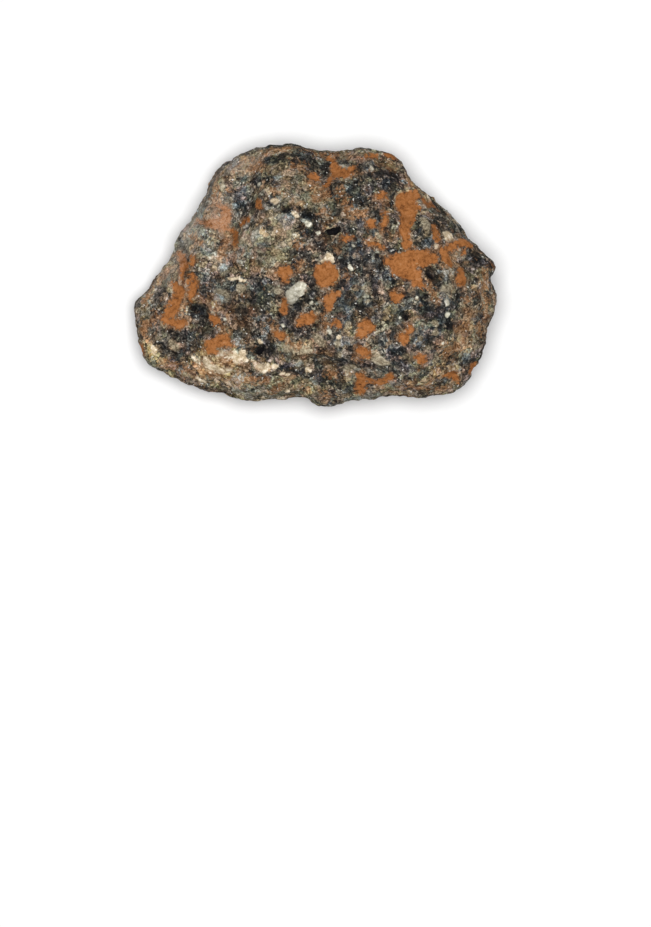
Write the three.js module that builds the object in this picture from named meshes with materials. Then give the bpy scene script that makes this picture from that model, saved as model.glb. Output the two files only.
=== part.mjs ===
// A small lunar meteorite: one broken, weathered lump of feldspathic breccia, lying on its
// flattest side with its broad face up. Millimetres, +Z up. The origin is under the middle of
// the stone, on the surface that it rests on. +X runs along its length.
import * as THREE from 'three';
import { mergeVertices } from 'three/addons/utils/BufferGeometryUtils.js';
import { ImprovedNoise } from 'three/addons/math/ImprovedNoise.js';

// Driving dimensions
const length = 32.6;
const width = 23.9;
const thickness = 11.0;
const restingFlatDepth = 0.6;
const edgeWear = 0.42;

// The stone is a sphere whose points are moved out, or in, along rays from a centre inside it
const centreLevel = 5.2;
const sphereDetail = 20;
const sameCornerDistance = 1e-4;
const meshProportions = [15.5, 11.0, 5.4];
const poleCrowding = 1.5;
const waistCrowding = 0.8;
const outlineSamples = 1440;

// Relief grows in over this range of a face's upward, or downward, lean
const reliefStartsAt = 0.1;
const reliefFullAt = 0.5;

// Where the middle of a ridged swell's height lies, and how fast it falls off from its crest
const ridgeCrest = 0.5;
const ridgeFall = 2;

// The outline seen from above, as its corners and shoulders, anticlockwise from the right-hand knob
const outline = [
  [16.5, 0.7], [16.3, 1.1], [15.7, 1.6], [14.9, 2.7], [13.2, 4.1], [11.6, 5.5], [10.7, 6.9],
  [9.4, 8.0], [8.4, 9.3], [7.7, 10.4], [6.3, 10.8], [4.7, 11.1], [3.2, 10.8], [1.8, 10.8],
  [1.1, 11.3], [0.4, 11.3], [-0.6, 11.6], [-1.5, 11.9], [-2.8, 11.8], [-4.1, 11.3], [-5.7, 10.7],
  [-7.4, 10.1], [-8.6, 8.9], [-9.2, 7.4], [-9.8, 6.0], [-10.4, 4.4], [-11.4, 2.9], [-12.2, 1.4],
  [-13.4, 0.0], [-14.2, -1.5], [-15.7, -3.3], [-16.4, -4.3], [-16.5, -5.6], [-15.9, -6.8],
  [-14.5, -7.9], [-13.1, -8.7], [-11.3, -9.6], [-9.3, -10.8], [-7.2, -11.6], [-4.7, -11.7],
  [-2.2, -11.6], [0.2, -11.7], [1.2, -11.8], [2.3, -11.7], [5.2, -11.6], [8.3, -11.5],
  [10.7, -11.0], [13.1, -10.9], [14.4, -9.9], [15.8, -8.6], [15.7, -6.9], [15.8, -5.3],
  [16.1, -4.1], [16.3, -2.7], [16.0, -1.4], [16.1, -0.3],
];

// The broken faces that bound the stone above and below. Each passes through a point and falls
// away from there towards a compass direction, counted from +X, at an angle below level. On the
// underside a face rises by that angle instead.
const upperFaces = [
  { name: 'crown', at: [4.0, -1.0], level: 10.4, towards: 200, slope: 5 },
  { name: 'leftRamp', at: [-4.0, -1.0], level: 9.3, towards: 190, slope: 19 },
  { name: 'backLeftFlank', at: [-7.0, 5.6], level: 8.2, towards: 160, slope: 42 },
  { name: 'backLeftChip', at: [-5.4, 9.2], level: 8.0, towards: 122, slope: 46 },
  { name: 'backFlank', at: [-0.5, 7.8], level: 9.3, towards: 98, slope: 38 },
  { name: 'backRightFlank', at: [6.0, 7.2], level: 9.4, towards: 68, slope: 37 },
  { name: 'rightShoulder', at: [10.0, 3.4], level: 9.6, towards: 41, slope: 34 },
  { name: 'rightFlank', at: [13.0, -3.0], level: 9.4, towards: 354, slope: 39 },
  { name: 'frontRightChip', at: [11.4, -7.8], level: 9.2, towards: 316, slope: 41 },
  { name: 'frontFlank', at: [3.5, -8.4], level: 9.3, towards: 266, slope: 41 },
  { name: 'frontLeftFlank', at: [-7.8, -7.8], level: 7.9, towards: 246, slope: 38 },
  { name: 'leftTip', at: [-14.2, -4.8], level: 7.1, towards: 196, slope: 38 },
];
const lowerFaces = [
  { name: 'rightUnderside', at: [5.0, -2.0], level: 0.0, towards: 8, slope: 24 },
  { name: 'rightUndercut', at: [12.4, -2.0], level: 2.9, towards: 350, slope: 40 },
  { name: 'leftUnderside', at: [-4.2, -1.0], level: 0.0, towards: 184, slope: 13 },
  { name: 'leftUndercut', at: [-15.2, -4.6], level: 2.2, towards: 196, slope: 42 },
  { name: 'backLeftUnderside', at: [-4.4, 3.4], level: 0.0, towards: 138, slope: 21 },
  { name: 'backUnderside', at: [1.0, 4.2], level: 0.0, towards: 88, slope: 31 },
  { name: 'backRightUnderside', at: [5.0, 3.0], level: 0.0, towards: 46, slope: 25 },
  { name: 'frontRightUnderside', at: [5.0, -4.6], level: 0.0, towards: 316, slope: 30 },
  { name: 'frontUnderside', at: [0.6, -5.2], level: 0.0, towards: 272, slope: 36 },
  { name: 'frontLeftUnderside', at: [-4.8, -4.6], level: 0.0, towards: 222, slope: 25 },
  { name: 'restingFlat', at: [1.0, -0.5], level: 0.0, towards: 0, slope: 0 },
];

// Humps and hollows of the broad upper face: where, half-lengths, the direction of the longer
// one, and how far they stand out or sink in
const upperRelief = [
  { name: 'leftCrest', at: [-8.3, 6.6], half: [3.6, 0.9], along: 78, out: 0.75 },
  { name: 'leftTrough', at: [-6.2, 6.6], half: [3.2, 1.1], along: 70, out: -0.85 },
  { name: 'tanRib', at: [-3.4, 4.4], half: [4.8, 1.5], along: 62, out: 0.8 },
  { name: 'backHump', at: [-2.6, 9.0], half: [1.9, 1.5], along: 20, out: 0.5 },
  { name: 'backNotch', at: [2.0, 10.0], half: [1.2, 1.3], along: 90, out: -0.55 },
  { name: 'backLedge', at: [6.0, 8.6], half: [2.8, 1.0], along: 165, out: 0.45 },
  { name: 'clayBasin', at: [2.9, 9.2], half: [1.7, 0.9], along: 0, out: -0.45 },
  { name: 'darkSlot', at: [2.1, 3.7], half: [1.5, 0.5], along: 12, out: -0.9 },
  { name: 'ribNotch', at: [-2.6, 5.8], half: [0.9, 0.5], along: 0, out: -0.5 },
  { name: 'middleNotch', at: [-0.4, 5.1], half: [0.9, 0.6], along: 30, out: -0.55 },
  { name: 'middlePocket', at: [5.5, 1.0], half: [0.8, 0.8], along: 60, out: -0.4 },
  { name: 'claySteps', at: [8.4, 4.6], half: [3.2, 1.0], along: 100, out: -0.5 },
  { name: 'clayPan', at: [9.4, 0.9], half: [3.2, 1.2], along: 8, out: -0.5 },
  { name: 'ringedClast', at: [9.9, 3.9], half: [1.1, 1.5], along: 90, out: 0.55 },
  { name: 'blackPit', at: [10.5, -0.2], half: [0.9, 0.6], along: 20, out: -0.6 },
  { name: 'roundVesicle', at: [1.1, -0.1], half: [1.3, 1.3], along: 0, out: -0.35 },
  { name: 'whiteClast', at: [-1.5, -1.7], half: [1.2, 0.8], along: 50, out: 0.35 },
  { name: 'leftBlock', at: [-6.6, -1.3], half: [1.6, 1.3], along: 0, out: 0.45 },
  { name: 'lowTrough', at: [-9.4, -4.4], half: [3.4, 1.0], along: 10, out: -0.45 },
  { name: 'leftPocket', at: [-11.5, -6.4], half: [2.0, 1.1], along: 170, out: -0.6 },
  { name: 'leftClast', at: [-12.8, -6.3], half: [0.8, 0.7], along: 120, out: 0.4 },
  { name: 'paleBoss', at: [-8.3, -7.2], half: [2.2, 1.5], along: 150, out: 0.6 },
  { name: 'eyePit', at: [-4.7, -6.9], half: [0.8, 0.6], along: 35, out: -0.9 },
  { name: 'lowGully', at: [1.0, -8.0], half: [0.9, 3.0], along: 10, out: -0.4 },
  { name: 'lowLip', at: [-3.6, -9.8], half: [3.6, 0.9], along: 175, out: 0.35 },
  { name: 'frontLip', at: [8.6, -9.6], half: [3.4, 0.8], along: 4, out: 0.35 },
  { name: 'frontHollow', at: [7.4, -7.4], half: [3.4, 1.1], along: 6, out: -0.35 },
  { name: 'rightShelf', at: [14.3, -3.6], half: [0.9, 3.0], along: 0, out: 0.35 },
  { name: 'rightScoop', at: [13.6, 0.6], half: [1.2, 1.4], along: 40, out: -0.4 },
  { name: 'rightKnob', at: [16.1, 0.7], half: [0.7, 0.5], along: 15, out: 0.3 },
];

// Humps and hollows of the underside
const lowerRelief = [
  { name: 'underScoop', at: [-9.0, -3.6], half: [3.0, 2.2], along: 20, out: -0.7 },
  { name: 'underKeel', at: [-7.5, 2.4], half: [4.0, 1.2], along: 150, out: 0.5 },
  { name: 'underPocket', at: [9.6, 3.0], half: [1.9, 1.4], along: 60, out: -0.7 },
  { name: 'underBlock', at: [10.4, -4.8], half: [2.6, 2.0], along: 100, out: 0.6 },
  { name: 'underGroove', at: [3.0, 8.2], half: [3.6, 0.9], along: 165, out: -0.5 },
];

// Layers of unevenness over the whole stone: the size of one swell, its height, and whether its
// crests are sharp ridges
const unevenness = [
  { swell: 5.2, height: 0.7, offset: 3.1, ridged: false },
  { swell: 2.4, height: 0.38, offset: 17.7, ridged: true },
  { swell: 1.2, height: 0.24, offset: 47.9, ridged: false },
];

const radians = THREE.MathUtils.degToRad;
const noise = new ImprovedNoise();

function makeOutlineRadius() {
  const corners = outline.map(([x, y]) => new THREE.Vector3(x, y, 0));
  const samples = new THREE.CatmullRomCurve3(corners, true, 'centripetal').getSpacedPoints(outlineSamples);
  const turn = 2 * Math.PI;
  const polar = samples.map((p) => [(Math.atan2(p.y, p.x) + turn) % turn, Math.hypot(p.x, p.y)]);
  polar.sort((a, b) => a[0] - b[0]);
  return (angle) => {
    const wanted = (angle + turn) % turn;
    const after = polar.findIndex(([a]) => a > wanted);
    const high = after < 0 ? 0 : after;
    const low = (high - 1 + polar.length) % polar.length;
    const span = (polar[high][0] - polar[low][0] + turn) % turn;
    const share = span > 0 ? ((wanted - polar[low][0] + turn) % turn) / span : 0;
    return THREE.MathUtils.lerp(polar[low][1], polar[high][1], share);
  };
}

// How far a ray from the centre goes before it meets a face. Side is 1 above and -1 below.
function reachOfFace(face, side, ray) {
  const fall = Math.tan(radians(face.slope));
  const direction = [Math.cos(radians(face.towards)), Math.sin(radians(face.towards))];
  const distanceOut = face.at[0] * direction[0] + face.at[1] * direction[1];
  const levelAtCentre = face.level + side * distanceOut * fall;
  const closing = side * ray.z + (ray.x * direction[0] + ray.y * direction[1]) * fall;
  return closing > 0 ? (side * (levelAtCentre - centreLevel)) / closing : Infinity;
}

// The shortest of several reaches, with the edges between their faces worn round
function wornShortest(reaches) {
  const sum = reaches.reduce((total, reach) => total + Math.exp(-reach / edgeWear), 0);
  return -edgeWear * Math.log(sum);
}

function reliefAt(list, point) {
  return list.reduce((total, { at, half, along, out }) => {
    const offset = new THREE.Vector2(point.x - at[0], point.y - at[1]);
    offset.rotateAround(new THREE.Vector2(), -radians(along));
    return total + out * Math.exp(-((offset.x / half[0]) ** 2) - (offset.y / half[1]) ** 2);
  }, 0);
}

// Puts a point of the unit sphere on the stone, before its relief
function placeOnStone(point, outlineRadius) {
  const [longHalf, wideHalf, tallHalf] = meshProportions;
  const tilt = Math.abs(point.z);
  const spread = Math.sqrt(Math.max(0, 1 - tilt ** poleCrowding));
  const bearing = Math.atan2(point.y, point.x);
  const ray = new THREE.Vector3(
    Math.cos(bearing) * spread * longHalf,
    Math.sin(bearing) * spread * wideHalf,
    Math.sign(point.z) * tilt ** waistCrowding * tallHalf,
  ).normalize();
  const plan = Math.hypot(ray.x, ray.y);
  const wall = plan > 0 ? outlineRadius(Math.atan2(ray.y, ray.x)) / plan : Infinity;
  const reaches = [
    wall,
    ...upperFaces.map((face) => reachOfFace(face, 1, ray)),
    ...lowerFaces.map((face) => reachOfFace(face, -1, ray)),
  ];
  return ray.multiplyScalar(wornShortest(reaches)).add(new THREE.Vector3(0, 0, centreLevel));
}

function unevennessAt(point) {
  return unevenness.reduce((total, { swell, height, offset, ridged }) => {
    const sample = noise.noise(point.x / swell + offset, point.y / swell, point.z / swell);
    return total + height * (ridged ? ridgeCrest - ridgeFall * Math.abs(sample) : sample);
  }, 0);
}

function makeStoneGeometry() {
  const sphere = new THREE.IcosahedronGeometry(1, sphereDetail);
  sphere.deleteAttribute('normal');
  sphere.deleteAttribute('uv');
  const geometry = mergeVertices(sphere, sameCornerDistance);
  const position = geometry.getAttribute('position');
  const outlineRadius = makeOutlineRadius();
  const point = new THREE.Vector3();
  for (let i = 0; i < position.count; i += 1) {
    point.copy(placeOnStone(point.fromBufferAttribute(position, i), outlineRadius));
    position.setXYZ(i, point.x, point.y, point.z);
  }

  geometry.computeVertexNormals();
  const normal = geometry.getAttribute('normal');
  const outward = new THREE.Vector3();
  for (let i = 0; i < position.count; i += 1) {
    point.fromBufferAttribute(position, i);
    outward.fromBufferAttribute(normal, i);
    const faceUp = THREE.MathUtils.smoothstep(outward.z, reliefStartsAt, reliefFullAt);
    const faceDown = THREE.MathUtils.smoothstep(-outward.z, reliefStartsAt, reliefFullAt);
    const relief = faceUp * reliefAt(upperRelief, point) + faceDown * reliefAt(lowerRelief, point);
    point.addScaledVector(outward, relief + unevennessAt(point));
    position.setXYZ(i, point.x, point.y, point.z);
  }

  // Centres the stone over the origin, brings it to its overall size, and grinds its lowest
  // bumps off into one small flat
  geometry.computeBoundingBox();
  const { min, max } = geometry.boundingBox;
  const middle = new THREE.Vector3().addVectors(min, max).multiplyScalar(0.5);
  const floorLevel = min.z + restingFlatDepth;
  const lengthScale = length / (max.x - min.x);
  const widthScale = width / (max.y - min.y);
  const levelScale = thickness / (max.z - floorLevel);
  for (let i = 0; i < position.count; i += 1) {
    position.setXYZ(
      i,
      (position.getX(i) - middle.x) * lengthScale,
      (position.getY(i) - middle.y) * widthScale,
      Math.max(0, (position.getZ(i) - floorLevel) * levelScale),
    );
  }
  geometry.computeVertexNormals();
  return geometry;
}

function makeMeteorite() {
  const breccia = new THREE.MeshStandardMaterial({ color: 0x73634f, roughness: 0.85, metalness: 0 });
  const stone = new THREE.Mesh(makeStoneGeometry(), breccia);
  stone.name = 'stone';
  return stone;
}

const meteorite = new THREE.Group();
meteorite.add(makeMeteorite());

export default meteorite;
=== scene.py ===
import random

import bmesh
import bpy
import numpy as np
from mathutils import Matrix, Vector, noise
from mathutils.bvhtree import BVHTree


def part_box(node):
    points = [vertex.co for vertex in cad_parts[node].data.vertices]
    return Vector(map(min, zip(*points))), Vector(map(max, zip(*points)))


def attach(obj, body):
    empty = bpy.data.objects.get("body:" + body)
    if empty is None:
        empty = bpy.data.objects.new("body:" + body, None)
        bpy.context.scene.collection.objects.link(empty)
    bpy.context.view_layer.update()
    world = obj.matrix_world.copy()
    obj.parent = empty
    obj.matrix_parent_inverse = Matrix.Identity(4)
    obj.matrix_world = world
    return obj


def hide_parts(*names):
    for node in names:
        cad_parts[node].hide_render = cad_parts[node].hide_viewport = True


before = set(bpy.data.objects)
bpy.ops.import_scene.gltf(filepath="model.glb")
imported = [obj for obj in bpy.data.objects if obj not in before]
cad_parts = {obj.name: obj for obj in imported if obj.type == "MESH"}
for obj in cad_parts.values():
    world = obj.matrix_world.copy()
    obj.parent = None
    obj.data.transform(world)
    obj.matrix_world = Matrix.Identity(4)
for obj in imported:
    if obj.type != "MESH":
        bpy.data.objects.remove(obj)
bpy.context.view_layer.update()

print("Dressing the lunar meteorite")

mm = 0.001  # the stone is worked in millimetres and brought to metres at the end


# Marks of the broad face. Each is a stroke of round dabs, [x, y, radius] in mm on the stone's own
# axes, seen from above, joined up from one dab to the next.

# rust-orange clay that fills the hollows
clayMarks = {
    "forkTop": [[7.85, 6.7, .55], [8.5, 6.75, .62], [9, 6.95, .5]],
    "forkStem": [[7.95, 6.1, .68], [8.5, 6, .9], [8.4, 5.3, .85], [8.2, 4.6, .6], [8.15, 3.8, .52]],
    "forkFoot": [[8.15, 3.8, .5], [8.3, 3, .42], [8.4, 2.4, .42]],
    "forkElbow": [[9.2, 5.9, .3], [9.5, 5.8, .2]],
    "forkRight": [[9.8, 6.6, .26], [10.3, 6.2, .38], [10.9, 6.1, .3]],
    "pan": [[6.6, 1.1, .4], [7.4, 1, .7], [8.6, 1.2, .85], [9.8, 1.3, .8], [10.7, 1.3, .5]],
    "panLobe": [[7.3, .3, .45], [8.2, .1, .7], [9.1, -.2, .6], [9.3, -.9, .45], [9.7, -1.1, .3]],
    "ringStreak": [[10.9, 4.2, .26], [10.95, 3.5, .36], [11.1, 3, .26]],
    "rightBand": [[12.1, 2.2, .3], [12.8, 2.6, .36], [13.6, 2.7, .4], [14.1, 2.5, .25]],
    "rightBandFoot": [[13.6, 1.9, .26]],
    "rightHook": [[11.6, 1.9, .36], [12, 1.3, .42], [12.3, .8, .3]],
    "rightDrop": [[13.3, .3, .26], [13.2, -.2, .42], [13.3, -.8, .46]],
    "upperDab": [[5.9, 6.9, .36], [6.3, 7, .34]],
    "elbow": [[5.15, 4.35, .45]],
    "elbowTop": [[6.1, 4.2, .24], [6.4, 4.7, .3], [6.3, 5.3, .26]],
    "arc": [[5, 2.6, .16], [5.6, 2.6, .26], [6.1, 2.3, .2]],
    "slotDab": [[2.6, 3.1, .22], [3, 3.1, .33], [3.4, 3.15, .18]],
    "basin": [[1.8, 9.5, .3], [2.2, 9, .55], [3, 9.05, .5], [3.5, 9.3, .3]],
    "basinTop": [[1.3, 10.3, .22], [1.7, 10.2, .26], [1.8, 9.8, .26]],
    "basinTail": [[1.5, 8.5, .3], [1.1, 8, .3]],
    "basinDrip": [[-.3, 8.7, .3], [.2, 8.5, .33]],
    "backEdge": [[4.6, 10.4, .18], [5.1, 10.5, .3], [5.6, 10.4, .2]],
    "ribDab": [[-5.1, 6.5, .3], [-5, 6, .35]],
    "crestStroke": [[-8.5, 6.1, .22], [-8.1, 5.7, .42], [-7.9, 5.1, .5], [-8.2, 4.5, .5]],
    "crestFoot": [[-10.4, 4.6, .18], [-9.8, 4.5, .3], [-9.2, 4.4, .42], [-8.6, 4.4, .45], [-8.1, 4.1, .4]],
    "crestTail": [[-7.4, 3.9, .2], [-7, 3.4, .26], [-7.1, 2.7, .26]],
    "ribFoot": [[-6.5, 4.4, .25], [-6, 4.8, .25]],
    "flankLeft": [[-12.2, 1.7, .25], [-11.8, 1.3, .42], [-11.5, .6, .42], [-11.7, 0, .3], [-11.8, -.7, .22]],
    "flankRight": [[-11, 1.4, .25], [-10.9, .8, .22]],
    "leftLobeA": [[-10.9, -.2, .22], [-10.8, -.9, .34], [-10.8, -1.6, .4], [-11.1, -2.2, .3]],
    "leftLobeB": [[-12.4, -1.3, .45], [-11.9, -1.6, .4], [-12.3, -2.4, .46], [-12.6, -3.1, .55],
                  [-12.9, -3.6, .5]],
    "leftLobeC": [[-13.4, -4.1, .36], [-12.8, -4.4, .42], [-12.3, -4.6, .48], [-11.7, -4.5, .35]],
    "lowDab": [[-9.1, -4.1, .38], [-8.8, -4.4, .33]],
    "lowPatch": [[-9.4, -6.4, .45], [-8.7, -6.2, .6], [-8, -6.1, .55]],
    "lowPatchFoot": [[-9.4, -6.9, .4], [-9, -7.1, .3]],
    "vesicle": [[1.1, -.15, 1.16]],
    "midTwin": [[-3, .1, .4], [-2.4, .15, .45], [-2.6, -.4, .4]],
    "midDrop": [[-2.7, -2.5, .24], [-2.7, -3.3, .4]],
    "midFlat": [[-1.3, -4.4, .3], [-.7, -4.15, .55], [-.2, -4, .4]],
    "midSlant": [[2.1, -1.9, .3], [1.7, -2.1, .36], [1.25, -2.6, .42], [1.3, -3.1, .3]],
    "midDot": [[1.9, -4.5, .3], [2.1, -4.6, .28]],
    "midLow": [[-3.5, -5.4, .22], [-2.9, -5.7, .33]],
    "comma": [[4.2, -4.5, .22], [4.8, -4.6, .42], [5.1, -4.9, .38], [4.6, -5.3, .38], [4.1, -5.5, .38]],
    "frontPatch": [[4.2, -7, .4], [4.7, -7.2, .5]],
    "frontBranch": [[4.2, -9.3, .36], [4.2, -9.9, .45], [4.2, -10.5, .45]],
    "frontTwig": [[4.9, -9.6, .28], [5.5, -9.9, .26], [6.2, -9.8, .26], [6.8, -9.3, .33]],
    "rightDab": [[7.2, -2, .36], [7.5, -2.3, .42], [7.8, -1.9, .3]],
    "rightFlame": [[8.6, -4.9, .3], [8.6, -5.4, .28], [8.1, -5.8, .5]],
    "rightLow": [[9.4, -7.6, .33], [9.8, -7.8, .42]],
    "cornerPatch": [[11.8, -9.2, .22], [12.5, -9.1, .33], [12.7, -9.5, .28]],
    "edgeDab": [[14.2, -8.3, .36], [14.1, -8.7, .28]],
}

# the same clay, thin, with the grains of the stone showing through
rustMarks = {
    "rightFoot": [[14.9, -4.8, .4], [15.1, -5.6, .3]],
    "frontLeftLow": [[-6.1, -9.6, .33], [-5.3, -9.7, .33]],
    "backBand": [[-4, 11, .3], [-3.2, 11, .3], [-2.3, 11.1, .25]],
    "backBandRight": [[-.9, 11.2, .25], [-.2, 10.9, .25], [.3, 10.6, .2], [1.3, 10.5, .2], [2, 10.7, .22]],
    "backBrown": [[-.9, 9.5, .35], [-1.9, 9.7, .3]],
    "backLow": [[-.3, 8.2, .4], [.6, 7.6, .4], [1.1, 7, .3], [.2, 6.8, .4]],
    "backSpot": [[6.8, 9.5, .26], [7.1, 9.4, .26]],
    "crestPink": [[-5.3, 9.4, .35], [-4.8, 9.2, .2]],
    "ribPink": [[-3.6, 7.4, .36], [-3.2, 7.1, .26]],
    "bandEdge": [[2.4, 7.3, .28], [3.2, 5.4, .35], [4.4, 5.3, .3]],
    "notchFoot": [[.9, 5.5, .35]],
    "crestSide": [[-8.9, 7.8, .3], [-8.9, 8.4, .3], [-8.8, 6.4, .4]],
    "crestDot": [[-7.8, 7.3, .22]],
    "flankSpots": [[-8, 2.9, .3], [-8.4, 1.8, .3]],
    "flankBrown": [[-11, 3.3, .3], [-10.2, 2.7, .25]],
    "leftBetween": [[-11.6, -2.6, .3], [-11.9, -3.6, .3]],
    "leftSide": [[-14.2, -4.1, .3], [-15.3, -4.7, .4], [-15.2, -5.2, .3]],
    "leftRim": [[-13.8, .2, .2], [-14.4, -1, .25], [-14.9, -2.2, .3]],
    "leftTan": [[-14.4, -3.5, .2]],
    "lowTail": [[-8.2, -4.8, .3], [-7.9, -5.3, .28]],
    "lowPale": [[-8.1, -8, .36], [-7.7, -8.2, .33]],
    "lowStreak": [[-9.8, -9, .2], [-9, -9.2, .25], [-8.4, -9.2, .2]],
    "edgeStreak": [[-13.4, -8, .16], [-12.4, -8.2, .18], [-11.6, -8.6, .2], [-10.8, -9.1, .16]],
    "lowDot": [[-7.8, -6.9, .26]],
    "midRed": [[-1.4, .9, .26], [-1.5, .4, .2]],
    "midTop": [[-1.5, 2.6, .3]],
    "vesicleRed": [[2.9, -.3, .25]],
    "midBrown": [[.9, -4.5, .3], [1.5, -4.7, .25]],
    "midFlatRight": [[.4, -3.9, .3], [.8, -3.8, .3]],
    "midFaint": [[-3.9, -4.7, .3], [-1.7, -6.6, .2], [-1.1, -6.5, .2]],
    "frontRing": [[1.4, -9, .26], [1.8, -9.3, .26]],
    "frontLow": [[.7, -10.8, .26], [1.2, -11, .3]],
    "frontSpeckle": [[-1.2, -10.2, .24], [-.7, -10.4, .2]],
    "frontSpeckleLeft": [[-3, -10, .24], [-3.4, -10.4, .33], [-3.7, -10.7, .22]],
    "frontFar": [[-4.6, -9.5, .28], [-4.2, -10, .2]],
    "frontTop": [[3.9, -7.6, .3]],
    "rightRed": [[10.4, -1.3, .18], [10.8, -2, .22], [11.1, -2.5, .18]],
    "rightPink": [[14.6, -1.7, .24]],
    "rightDot": [[13.7, -2.5, .26]],
    "rightTan": [[13.2, -5.1, .38], [13.7, -5, .33]],
    "rightRim": [[15, -4.8, .28], [14.8, -5.4, .22]],
    "rightRimUp": [[15.4, .1, .25], [15.4, -.7, .3], [15.3, -2, .28], [15.5, -3.4, .25], [15.4, -4.2, .25]],
    "cornerBand": [[11.9, -7.1, .5], [12.5, -6.9, .5], [13.3, -6.4, .26], [13.9, -6.2, .14]],
    "cornerLow": [[10.2, -9.9, .24]],
    "cornerRim": [[8.2, -10.2, .18], [10.5, -10.3, .2], [12, -10.2, .2]],
    "slotLeft": [[4.9, 2.9, .2]],
}

# white feldspar clasts
whiteMarks = {
    "middleClast": [[-2.2, -2.55, .42], [-1.95, -2.05, .64], [-1.6, -1.65, .66], [-1.2, -1.2, .46]],
    "whiteA": [[-.6, 4.4, .2], [-.4, 4.4, .2]],
    "whiteB": [[.3, 3.6, .18]],
    "whiteC": [[-1.8, 3.4, .15]],
    "whiteD": [[3.2, .75, .18], [3.4, .45, .18]],
    "whiteE": [[3.5, 2.4, .15]],
    "whiteF": [[-.3, -2.7, .22]],
    "whiteG": [[-2.8, -4.7, .17]],
    "whiteH": [[1.4, -5.3, .2]],
    "whiteI": [[11.95, -2.5, .18], [12, -2.8, .18]],
    "whiteJ": [[12, -3.7, .24]],
    "whiteK": [[11.6, -6.3, .17]],
    "whiteL": [[7.8, -4.1, .13]],
    "whiteM": [[9.2, -2.2, .17]],
    "whiteN": [[-10.2, .4, .12]],
    "whiteO": [[-8.2, 5.7, .12]],
    "whiteP": [[-5, 8, .17]],
    "whiteQ": [[-11.95, -.8, .17], [-11.8, -.2, .13]],
    "whiteR": [[-9.1, -3, .12]],
    "whiteS": [[-8, -4.2, .17]],
    "whiteT": [[5.2, 9.3, .17]],
    "whiteU": [[2.2, 9.65, .11], [2.8, 9.6, .14], [3.4, 9.35, .1]],
    "whiteV": [[13.1, 2.15, .14]],
    "whiteW": [[-9.4, 1.4, .18]],
}

# cream clasts
creamMarks = {
    "triangle": [[1.35, 1.75, .2], [1.5, 1.4, .28], [1.7, 1.05, .24]],
    "triangleLeft": [[1.3, 1.5, .22], [1.05, 1.15, .26], [.7, 1.05, .2]],
    "leftCap": [[-7.7, -.65, .1], [-6.9, -.55, .13], [-6.3, -.75, .16]],
    "lowCreamA": [[-8.9, -7.1, .28], [-8.3, -7.3, .33], [-7.8, -7.6, .36], [-7.2, -7.2, .28],
                  [-7, -7.8, .33]],
    "lowCreamB": [[-9.7, -7.9, .36], [-9.3, -8.4, .36], [-8.4, -8.8, .3], [-7.6, -8.7, .3]],
    "lowCreamEdge": [[-10.5, -9.4, .2], [-9.9, -9.8, .18]],
    "lowCreamRight": [[-6.5, -7.2, .3], [-6.2, -7.8, .26]],
    "lowCreamTop": [[-10.8, -7.6, .18], [-10.3, -7.9, .18]],
    "frontCream": [[-4.9, -8.4, .26], [-4.35, -8.4, .38], [-4.5, -8.9, .18]],
    "frontCreamSmall": [[-3.5, -8.4, .26]],
    "frontSliver": [[-3, -9, .12], [-2.3, -9.05, .12]],
    "frontDot": [[-.5, -8.7, .28]],
    "frontEdgeDot": [[-2.5, -10.6, .22]],
    "eyeDot": [[-4.8, -6.2, .26]],
    "ringClast": [[11.9, 3.6, .36], [12.15, 3.1, .38]],
    "ringChip": [[11, 2.4, .22]],
    "ribPale": [[-3.8, 6.5, .18], [-3.3, 6.35, .22]],
    "ribPink": [[-1.85, 5.5, .13], [-1.55, 5.1, .16]],
    "tipCream": [[-14.5, -6.7, .2], [-14.3, -7.2, .24]],
    "frontPink": [[2.3, -5.8, .24]],
}

# beige, olive and pinkish clasts
beigeMarks = {
    "ribBottom": [[-7, 3.1, .3], [-6.4, 2.9, .3]],
    "flank": [[-12.3, -.3, .3]],
    "leftBody": [[-6.5, -1.4, .42]],
    "tipClast": [[-12.85, -6.2, .3], [-12.45, -6.7, .33]],
    "oval": [[.2, -5.8, .36], [.6, -6.2, .42]],
    "midOlive": [[-.6, -6.9, .36], [-2.3, -6.8, .36]],
    "greenish": [[5.6, -7.6, .42], [6, -7.9, .48], [6.5, -8, .28]],
    "frontOlive": [[3.1, -8.7, .38], [3.4, -8.3, .3]],
    "pink": [[2.1, -6.4, .28]],
    "tipPink": [[-13.9, -5.9, .24]],
    "rightBeige": [[11.7, -1.5, .33], [12.2, -1.3, .38]],
    "rightGrey": [[10.9, -4.6, .36]],
    "rightBlue": [[10.9, -5.4, .28]],
    "ringHeart": [[9.9, 4.7, .36], [10.2, 4.2, .33]],
    "midChip": [[-3.2, -1.6, .33]],
    "frontGrey": [[3, -4.7, .26]],
    "upperGrey": [[5.7, 3.4, .22], [6, 3, .22]],
    "lowGrey": [[2.3, -7.3, .26]],
    "leftGrey": [[-7.9, -2, .28], [-8.6, -1.6, .28]],
    "flankPale": [[-8.3, 7.5, .13], [-8.1, 8.2, .16]],
    "rightChip": [[4.5, -1.4, .22]],
    "rightChipLow": [[4.8, -2.6, .2]],
    "edgeGrey": [[9.6, -5.9, .26]],
}

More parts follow.
